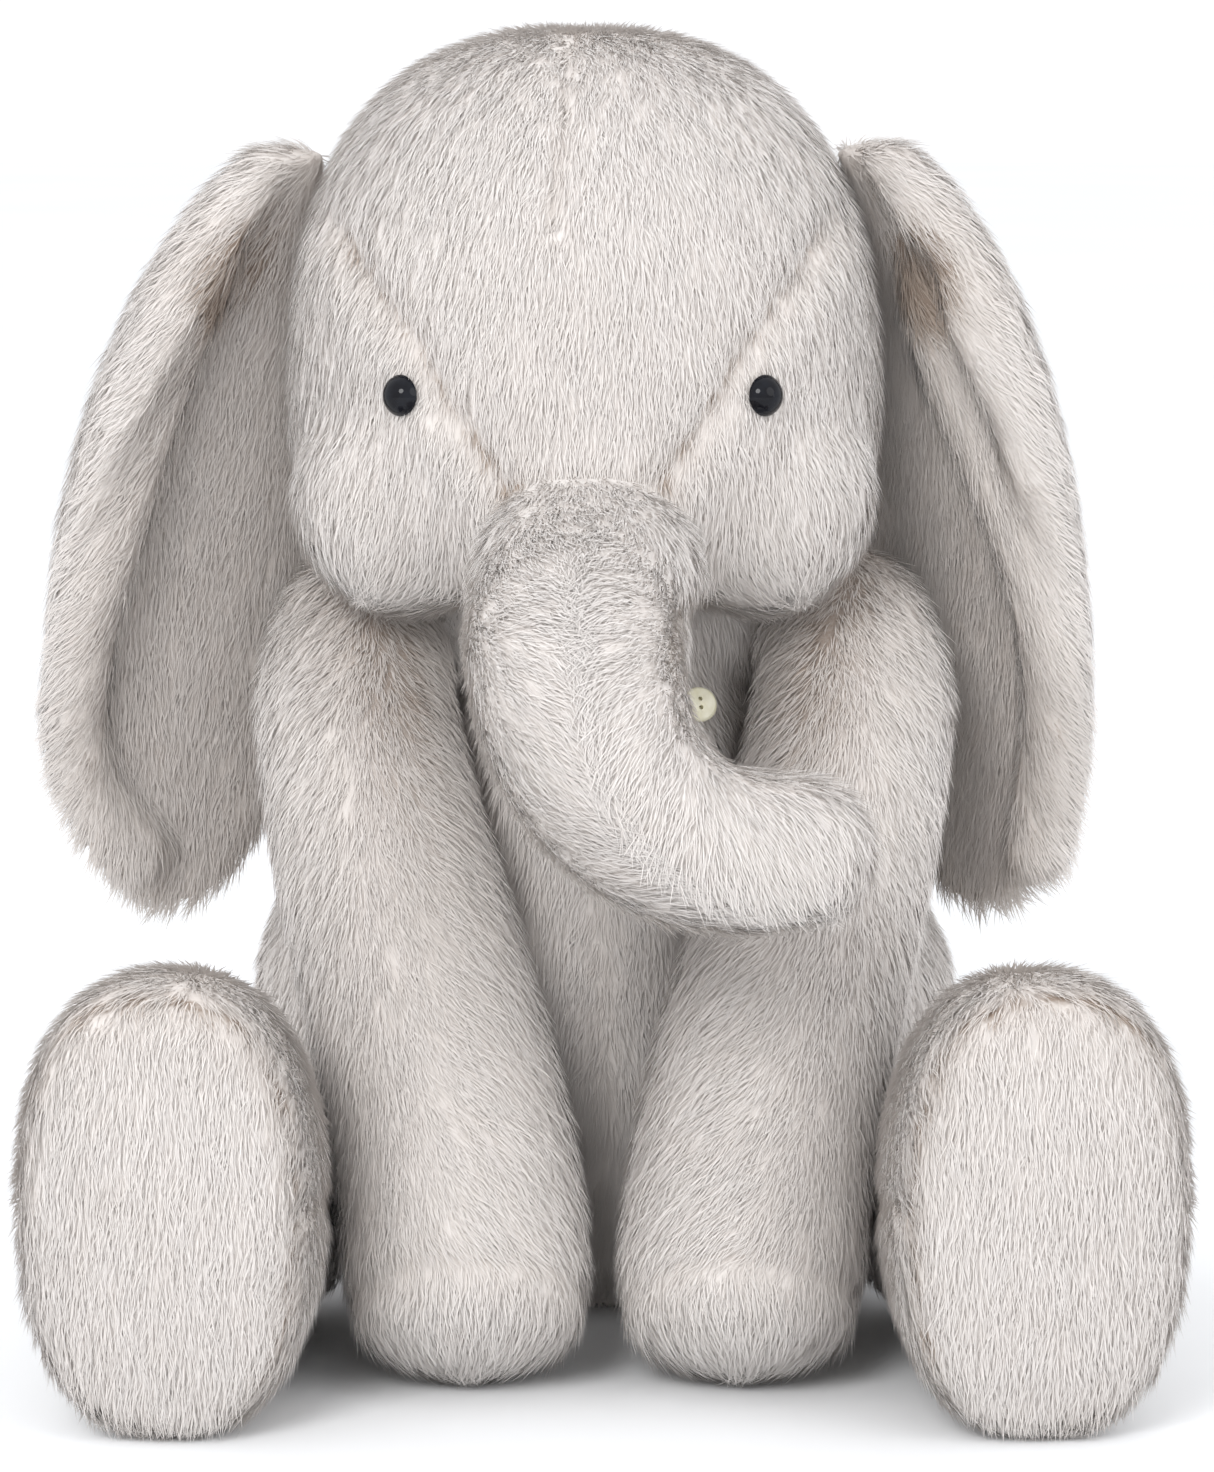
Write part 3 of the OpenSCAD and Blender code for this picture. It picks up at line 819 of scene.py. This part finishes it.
def comb(key):
    skin = laid_out(key)
    way = COMBS[skin.kind](skin)
    skin.closeness = bump(np.maximum(skin.seam, 0), CLOSE_WIDTH)
    skin.stitch = bump(np.maximum(skin.seam, 0), STITCH_WIDTH)
    if skin.kind == "head":
        way = sew_face(skin, way)
    away = skin.away / np.maximum(np.linalg.norm(skin.away, axis=1, keepdims=True), 1e-9)
    way = tangent(way, skin.no) + away * (skin.closeness * SEAM_PUSH)[:, None]
    way = tangent(spread(skin.edges, tangent(way, skin.no), 2), skin.no)
    if skin.kind == "leg":
        sew_foot(skin)
    shade_seams(skin)
    pull_seams_in(skin)
    keep_on_points(skin, way)
    return skin.own


owners = {key: comb(key) for key in skins}
print("combed:", {key: len(set(own.tolist())) for key, own in owners.items()}, "panels")

# %% [markdown]
# ## The pile
# A tuft is a few narrow tapering blades that start apart and lean together, as fibres clump. Geometry
# Nodes scatters the tufts over each panel, turns them along the nap, varies them a little and keeps the
# cloth's own direction with each one, so the pile takes light as one soft surface.

# %% A few tuft shapes
TUFT_SHAPES = 6
TUFT_BLADES = 6
BLADE_LENGTH = 0.0088
BLADE_WIDTH = 0.00028
TUFT_RADIUS = 0.0021
LEANS = (math.radians(66), math.radians(82))
BEND_AT = 0.45
NARROWING = (1.0, 0.85)
SUNK = 0.0006
FANNING = 70
random = np.random.default_rng(7)


def tuft_mesh(index):
    """Each blade is a narrow strip that bends once and ends in a point."""
    points, faces, along_values, side_values = [], [], [], []
    for _ in range(TUFT_BLADES):
        turn = random.uniform(0, 2 * math.pi)
        apart = TUFT_RADIUS * math.sqrt(random.uniform(0, 1))
        place = np.array([apart * math.cos(turn), apart * math.sin(turn), -SUNK])
        length = BLADE_LENGTH * random.uniform(0.72, 1.08)
        sway = random.uniform(-0.26, 0.26) - place[1] * FANNING
        lean = random.uniform(-0.16, 0.16)
        roll = random.uniform(-0.45, 0.45)
        wide = np.array([0.0, math.cos(roll), math.sin(roll)]) * BLADE_WIDTH / 2
        start = len(points)
        for k, share in enumerate(NARROWING):
            points += [place - wide * share, place + wide * share]
            along_values += [k * BEND_AT] * 2
            side_values += [-1.0, 1.0]
            step = length * (BEND_AT if k == 0 else 0.55)
            out, rise = math.sin(LEANS[k] + lean), math.cos(LEANS[k] + lean)
            place = place + step * np.array([out * math.cos(sway), out * math.sin(sway), rise])
        points.append(place)
        along_values.append(1.0)
        side_values.append(0.0)
        faces += [(start, start + 2, start + 3, start + 1), (start + 2, start + 4, start + 3)]
    mesh = bpy.data.meshes.new(f"tuft_{index}")
    mesh.from_pydata([tuple(p) for p in points], [], faces)
    mesh.attributes.new("along", "FLOAT", "POINT").data.foreach_set("value", along_values)
    mesh.attributes.new("side", "FLOAT", "POINT").data.foreach_set("value", side_values)
    return mesh


tufts = bpy.data.collections.new("tufts")
for i in range(TUFT_SHAPES):
    tufts.objects.link(bpy.data.objects.new(f"tuft_{i}", tuft_mesh(i)))
print(TUFT_SHAPES, "tufts of", TUFT_BLADES, "blades")

# %% [markdown]
# ## The planting tree
# Particle hair would look as fine, but only a mesh can be exported. So a node tree scatters tufts over
# the cloth and realizes them, with the density, the spacing and the seed as its named inputs.

# %% Helpers for the planting tree
def new_node(tree, kind, joined=None, **settings):
    """A node with its settings, and each named input joined to a socket or set to a value."""
    node = tree.nodes.new(kind)
    for name, setting in settings.items():
        setattr(node, name, setting)
    for name, source in (joined or {}).items():
        if isinstance(source, bpy.types.NodeSocket):
            tree.links.new(source, node.inputs[name])
        else:
            node.inputs[name].default_value = source
    return node


def attribute(tree, name, kind):
    node = new_node(tree, "GeometryNodeInputNamedAttribute", {"Name": name}, data_type=kind)
    return node.outputs["Attribute"]


def vector_sum(tree, a, b):
    node = tree.nodes.new("ShaderNodeVectorMath")
    tree.links.new(a, node.inputs[0])
    tree.links.new(b, node.inputs[1])
    return node.outputs["Vector"]


def chance(tree, kind, low, high, seed):
    """A random value between two ends, with a fixed seed."""
    node = tree.nodes.new("FunctionNodeRandomValue")
    node.data_type = kind
    ends = [s for s in node.inputs if s.enabled and s.name in ("Min", "Max")]
    ends[0].default_value, ends[1].default_value = low, high
    [s for s in node.inputs if s.name == "Seed"][0].default_value = seed
    return [s for s in node.outputs if s.enabled][0]


def keep_on_tufts(tree, geometry, name, kind, value):
    node = tree.nodes.new("GeometryNodeStoreNamedAttribute")
    node.domain, node.data_type = "INSTANCE", kind
    node.inputs["Name"].default_value = name
    tree.links.new(geometry, node.inputs["Geometry"])
    tree.links.new(value, [s for s in node.inputs if s.name == "Value" and s.enabled][0])
    return node.outputs["Geometry"]


PILE_SOCKETS = {"Geometry": "NodeSocketGeometry", "Density": "NodeSocketFloat", "Spacing": "NodeSocketFloat",
                "Seed": "NodeSocketInt", "Tufts": "NodeSocketCollection", "Finish": "NodeSocketMaterial"}
print("the planting tree takes", ", ".join(PILE_SOCKETS))

# %% [markdown]
# Fur clumps: neighbouring tufts swirl the same way, and a few fibres stray. So the nap gets a slow noise
# and a small random part, and each tuft a slightly different length and lightness.

# %% The tree itself
SWIRL_SCALE, SWIRL = 170.0, 0.7
STRAY = 0.22
LENGTHS = (0.8, 1.12)
TONES = (-0.07, 0.09)
BROWN_AND_PAINTED_LIGHT_SHARE = 0.7


def lie_of_the_pile(tree):
    """The cloth's nap, with a swirl and a stray part."""
    clump = new_node(tree, "ShaderNodeTexNoise", {"Scale": SWIRL_SCALE, "Detail": 1.0})
    centred = new_node(tree, "ShaderNodeVectorMath", operation="SUBTRACT")
    tree.links.new(clump.outputs["Color"], centred.inputs[0])
    centred.inputs[1].default_value = (0.5, 0.5, 0.5)
    swirl = new_node(tree, "ShaderNodeVectorMath", operation="MULTIPLY")
    tree.links.new(centred.outputs["Vector"], swirl.inputs[0])
    swirl.inputs[1].default_value = (SWIRL, SWIRL, SWIRL)
    stray = chance(tree, "FLOAT_VECTOR", (-STRAY, -STRAY, -STRAY), (STRAY, STRAY, STRAY), 3)
    along_cloth = vector_sum(tree, attribute(tree, "nap", "FLOAT_VECTOR"), swirl.outputs["Vector"])
    return vector_sum(tree, along_cloth, stray)


def pile_tree():
    tree = bpy.data.node_groups.new("plant_pile", "GeometryNodeTree")
    for name, kind in PILE_SOCKETS.items():
        tree.interface.new_socket(name, in_out="INPUT", socket_type=kind)
    tree.interface.new_socket("Geometry", in_out="OUTPUT", socket_type="NodeSocketGeometry")
    given = tree.nodes.new("NodeGroupInput").outputs
    scatter = new_node(tree, "GeometryNodeDistributePointsOnFaces", distribute_method="POISSON")
    for source, name in (("Geometry", "Mesh"), ("Density", "Density Max"), ("Spacing", "Distance Min"),
                         ("Seed", "Seed")):
        tree.links.new(given[source], scatter.inputs[name])
    turn = new_node(tree, "FunctionNodeAxesToRotation", {"Primary Axis": scatter.outputs["Normal"],
                    "Secondary Axis": lie_of_the_pile(tree)}, primary_axis="Z", secondary_axis="X")
    length = arithmetic(tree.nodes, tree.links, "MULTIPLY", attribute(tree, "pile", "FLOAT"),
                        chance(tree, "FLOAT", *LENGTHS, 5))
    size = new_node(tree, "ShaderNodeCombineXYZ", {"X": length, "Y": 1.0, "Z": length})
    shapes = new_node(tree, "GeometryNodeCollectionInfo", {"Collection": given["Tufts"],
                      "Separate Children": True, "Reset Children": True})
    plant = new_node(tree, "GeometryNodeInstanceOnPoints", {
        "Points": scatter.outputs["Points"], "Instance": shapes.outputs["Instances"], "Pick Instance": True,
        "Instance Index": chance(tree, "INT", 0, TUFT_SHAPES - 1, 11), "Rotation": turn.outputs["Rotation"],
        "Scale": size.outputs["Vector"]})
    # Brownness here includes painted shade in the ear hollows and painted light on the head's upward faces.
    browned_and_painted_light = arithmetic(tree.nodes, tree.links, "MULTIPLY", attribute(tree, "brown", "FLOAT"), BROWN_AND_PAINTED_LIGHT_SHARE)
    tone = arithmetic(tree.nodes, tree.links, "SUBTRACT", chance(tree, "FLOAT", *TONES, 17), browned_and_painted_light)
    out = keep_on_tufts(tree, plant.outputs["Instances"], "tone", "FLOAT", tone)
    out = keep_on_tufts(tree, out, "cloth_normal", "FLOAT_VECTOR", scatter.outputs["Normal"])
    real = new_node(tree, "GeometryNodeRealizeInstances", {"Geometry": out})
    finish = new_node(tree, "GeometryNodeSetMaterial", {"Geometry": real.outputs["Geometry"],
                                                        "Material": given["Finish"]})
    new_node(tree, "NodeGroupOutput", {"Geometry": finish.outputs["Geometry"]})
    return tree


planting = pile_tree()
print("planting tree:", len(planting.nodes), "nodes")

# %% [markdown]
# ## One piece of pile for each panel
# Each panel's share of its skin is cut out and planted by itself, so every panel keeps a piece of its
# own. The blades take most of their shading direction from the cloth under them, which makes thousands of
# blades read as one soft surface.

# %% Cutting out a panel and laying out its colours
MAP_MARGIN = 0.02
MAP_MIDDLE = 0.6


def part_of(mesh, own, wanted, name):
    whole = bmesh.new()
    whole.from_mesh(mesh)
    whole.verts.ensure_lookup_table()
    away = [f for f in whole.faces if np.bincount([own[v.index] for v in f.verts]).argmax() != wanted]
    bmesh.ops.delete(whole, geom=away, context="FACES")
    cut = bpy.data.meshes.new(name)
    whole.to_mesh(cut)
    whole.free()
    return cut


def values_on(mesh, name):
    values = np.empty(len(mesh.vertices), dtype=np.float32)
    mesh.attributes[name].data.foreach_get("value", values)
    return values


def lay_out_colours(mesh):
    """A map for baking: across it runs the place along a blade, and up it how light the blade is."""
    across = MAP_MARGIN + (1 - 2 * MAP_MARGIN) * values_on(mesh, "along")
    up = MAP_MIDDLE + 0.5 * values_on(mesh, "tone") + 0.004 * values_on(mesh, "side")
    corners = np.empty(len(mesh.loops), dtype=np.int32)
    mesh.loops.foreach_get("vertex_index", corners)
    spots = np.stack([across, up], axis=1)[corners].astype(np.float32)
    mesh.uv_layers.new(name="OFBake").uv.foreach_set("vector", spots.ravel())


print("colours lie round", MAP_MIDDLE, "up the map")

# %% Planting the panels
DENSITY = 378000.0
SPACING = 0.0008
OWN_SHADE = 0.16


def planted(name, cloth, seed, density):
    ground = bpy.data.objects.new(name + "_ground", cloth)
    bpy.context.scene.collection.objects.link(ground)
    modifier = ground.modifiers.new("pile", "NODES")
    modifier.node_group = planting
    sockets = {s.name: s.identifier for s in planting.interface.items_tree if s.in_out == "INPUT"}
    modifier[sockets["Density"]] = density
    modifier[sockets["Spacing"]] = SPACING
    modifier[sockets["Seed"]] = seed
    modifier[sockets["Tufts"]] = tufts
    modifier[sockets["Finish"]] = fur
    graph = bpy.context.evaluated_depsgraph_get()
    mesh = bpy.data.meshes.new_from_object(ground.evaluated_get(graph), depsgraph=graph)
    bpy.data.objects.remove(ground)
    mesh.name = name
    co = points_of(mesh)
    co[:, 2] = np.maximum(co[:, 2], FLOOR_GAP)
    put_points(mesh, co)
    cloth_normal = np.empty(len(mesh.vertices) * 3)
    mesh.attributes["cloth_normal"].data.foreach_get("vector", cloth_normal)
    shade = cloth_normal.reshape(-1, 3) + OWN_SHADE * normals_of(mesh)
    shade /= np.maximum(np.linalg.norm(shade, axis=1, keepdims=True), 1e-9)
    mesh.shade_smooth()
    mesh.normals_split_custom_set_from_vertices(shade.tolist())
    mesh.attributes.remove(mesh.attributes["cloth_normal"])
    lay_out_colours(mesh)
    obj = bpy.data.objects.new(name, mesh)
    bpy.context.scene.collection.objects.link(obj)
    return obj


density = DENSITY * 1.0
seed = 0
pile_pieces = {}
body_of_panel = {name: body for body, names in cover_nodes.items() for name in names}
for key, names in panels.items():
    for index, name in enumerate(names):
        seed += 1
        piece = planted(name + "_pile", part_of(skins[key], owners[key], index, name), seed, density)
        pile_pieces[name] = (piece, body_of_panel[name])
triangle_counts = {n: len(p.data.loops) - 2 * len(p.data.polygons) for n, (p, _) in pile_pieces.items()}
print("pile triangles:", sum(triangle_counts.values()), "largest piece:", max(triangle_counts.values()))
for obj in list(tufts.objects):
    bpy.data.objects.remove(obj)
bpy.data.collections.remove(tufts)

# %% [markdown]
# ## Bodies
# Each skin and each piece of pile rides on its own body. The skin of the head and the trunk's pile are
# put on no body: their placement is applied to their points, because the cloth there runs from the
# head on into the trunk.


def mount(obj, body, key):
    if key == "head" and body == "trunk":
        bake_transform(obj)
    else:
        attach(obj, body)


for key, mesh in skins.items():
    skin = bpy.data.objects.new(key + "_skin", mesh)
    bpy.context.scene.collection.objects.link(skin)
    mesh.materials.clear()
    mesh.materials.append(backing)
    mesh.shade_smooth()
    mount(skin, skin_bodies[key][-1], key)
    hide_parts(*panels[key], *fillings[key])
for piece, body in pile_pieces.values():
    mount(piece, body, "head" if body == "trunk" else body)
print("mounted:", len(skins), "skins and", len(pile_pieces), "pieces of pile")

# %% [markdown]
# ## Eyes and button
# The eyes are polished black domes and the button is cream with a soft shine. The CAD model's own pieces
# are used, since they are turned and moulded shapes, and only get a finish here.

# %% Finishes of the eyes, the washers and the button
BLACKS = [(0.3, (0.004, 0.004, 0.006)), (0.7, (0.008, 0.009, 0.013))]
CREAMS = [(0.3, (0.80, 0.76, 0.56)), (0.7, (0.86, 0.83, 0.66))]
WHITES = [(0.3, (0.74, 0.74, 0.72)), (0.7, (0.80, 0.80, 0.78))]
gloss = mottled("black_gloss", 300.0, BLACKS, 0.05, 0.2)
cream = mottled("pearly_cream", 500.0, CREAMS, 0.22)
plain = mottled("moulded_nylon", 800.0, WHITES, 0.45)
FINISHES = {"eye_left": gloss, "eye_right": gloss, "chest_button": cream, "button_thread": cream,
            "eye_washer_left": plain, "eye_washer_right": plain}
for name, finish in FINISHES.items():
    o = nodes[name]
    if not o.data.materials:
        o.data.materials.append(finish)
    for s in o.material_slots:
        s.link = "OBJECT"
        s.material = finish
print("finishes on", len(FINISHES), "small pieces")

# %% [markdown]
# ## The stage
# The toy sits on a pale floor that runs into a pale background. A soft key lamp from the front left shows
# the lie of the pile, a weaker one from the right opens the shadows, and the world fills in the rest.

# %% The floor
FLOOR_REACH = 6.0
floor_mesh = bpy.data.meshes.new("floor")
corners = [(-FLOOR_REACH, -FLOOR_REACH, 0), (FLOOR_REACH, -FLOOR_REACH, 0),
           (FLOOR_REACH, FLOOR_REACH, 0), (-FLOOR_REACH, FLOOR_REACH, 0)]
floor_mesh.from_pydata(corners, [], [(0, 1, 2, 3)])
floor = bpy.data.objects.new("floor", floor_mesh)
bpy.context.scene.collection.objects.link(floor)
floor_stops = [(0.3, (0.90, 0.91, 0.92)), (0.7, (0.92, 0.93, 0.94))]
floor.data.materials.append(mottled("pale_floor", 3.0, floor_stops, 0.9))
bpy.context.scene.view_settings.view_transform = "Standard"

print("floor reaches", FLOOR_REACH, "m each way")

# %% The world and the lamps
world = bpy.data.worlds.new("studio")
bpy.context.scene.world = world
world.use_nodes = True
world.node_tree.nodes["Background"].inputs["Color"].default_value = (0.97, 0.98, 1.0, 1)
world.node_tree.nodes["Background"].inputs["Strength"].default_value = 1.12


def area(name, place, target, size, watts):
    data = bpy.data.lights.new(name, "AREA")
    data.shape, data.size, data.energy = "DISK", size, watts
    lamp = bpy.data.objects.new(name, data)
    bpy.context.scene.collection.objects.link(lamp)
    lamp.location = place
    lamp.rotation_euler = (Vector(target) - Vector(place)).to_track_quat("-Z", "Y").to_euler()


area("key", (-0.5, -1.5, 1.0), (0, 0, 0.12), 0.7, 14)
area("fill", (1.2, -1.0, 0.8), (0, 0, 0.12), 1.2, 5)

# %% [markdown]
# A long lens from a little above keeps the feet from growing too big against the head.

# %% The camera
camera = bpy.data.cameras.new("camera")
view = bpy.data.objects.new("camera", camera)
bpy.context.scene.collection.objects.link(view)
camera.lens = 175
camera.sensor_fit = "HORIZONTAL"
camera.sensor_width = 36
DISTANCE = 1.3
ELEVATION = math.radians(8)
target = Vector((0.0007, -0.058, 0.133))
view.location = target + DISTANCE * Vector((0, -math.cos(ELEVATION), math.sin(ELEVATION)))
view.rotation_euler = (target - view.location).to_track_quat("-Z", "Y").to_euler()
camera.clip_end = 20
bpy.context.scene.camera = view
print("lens, mm:", camera.lens)
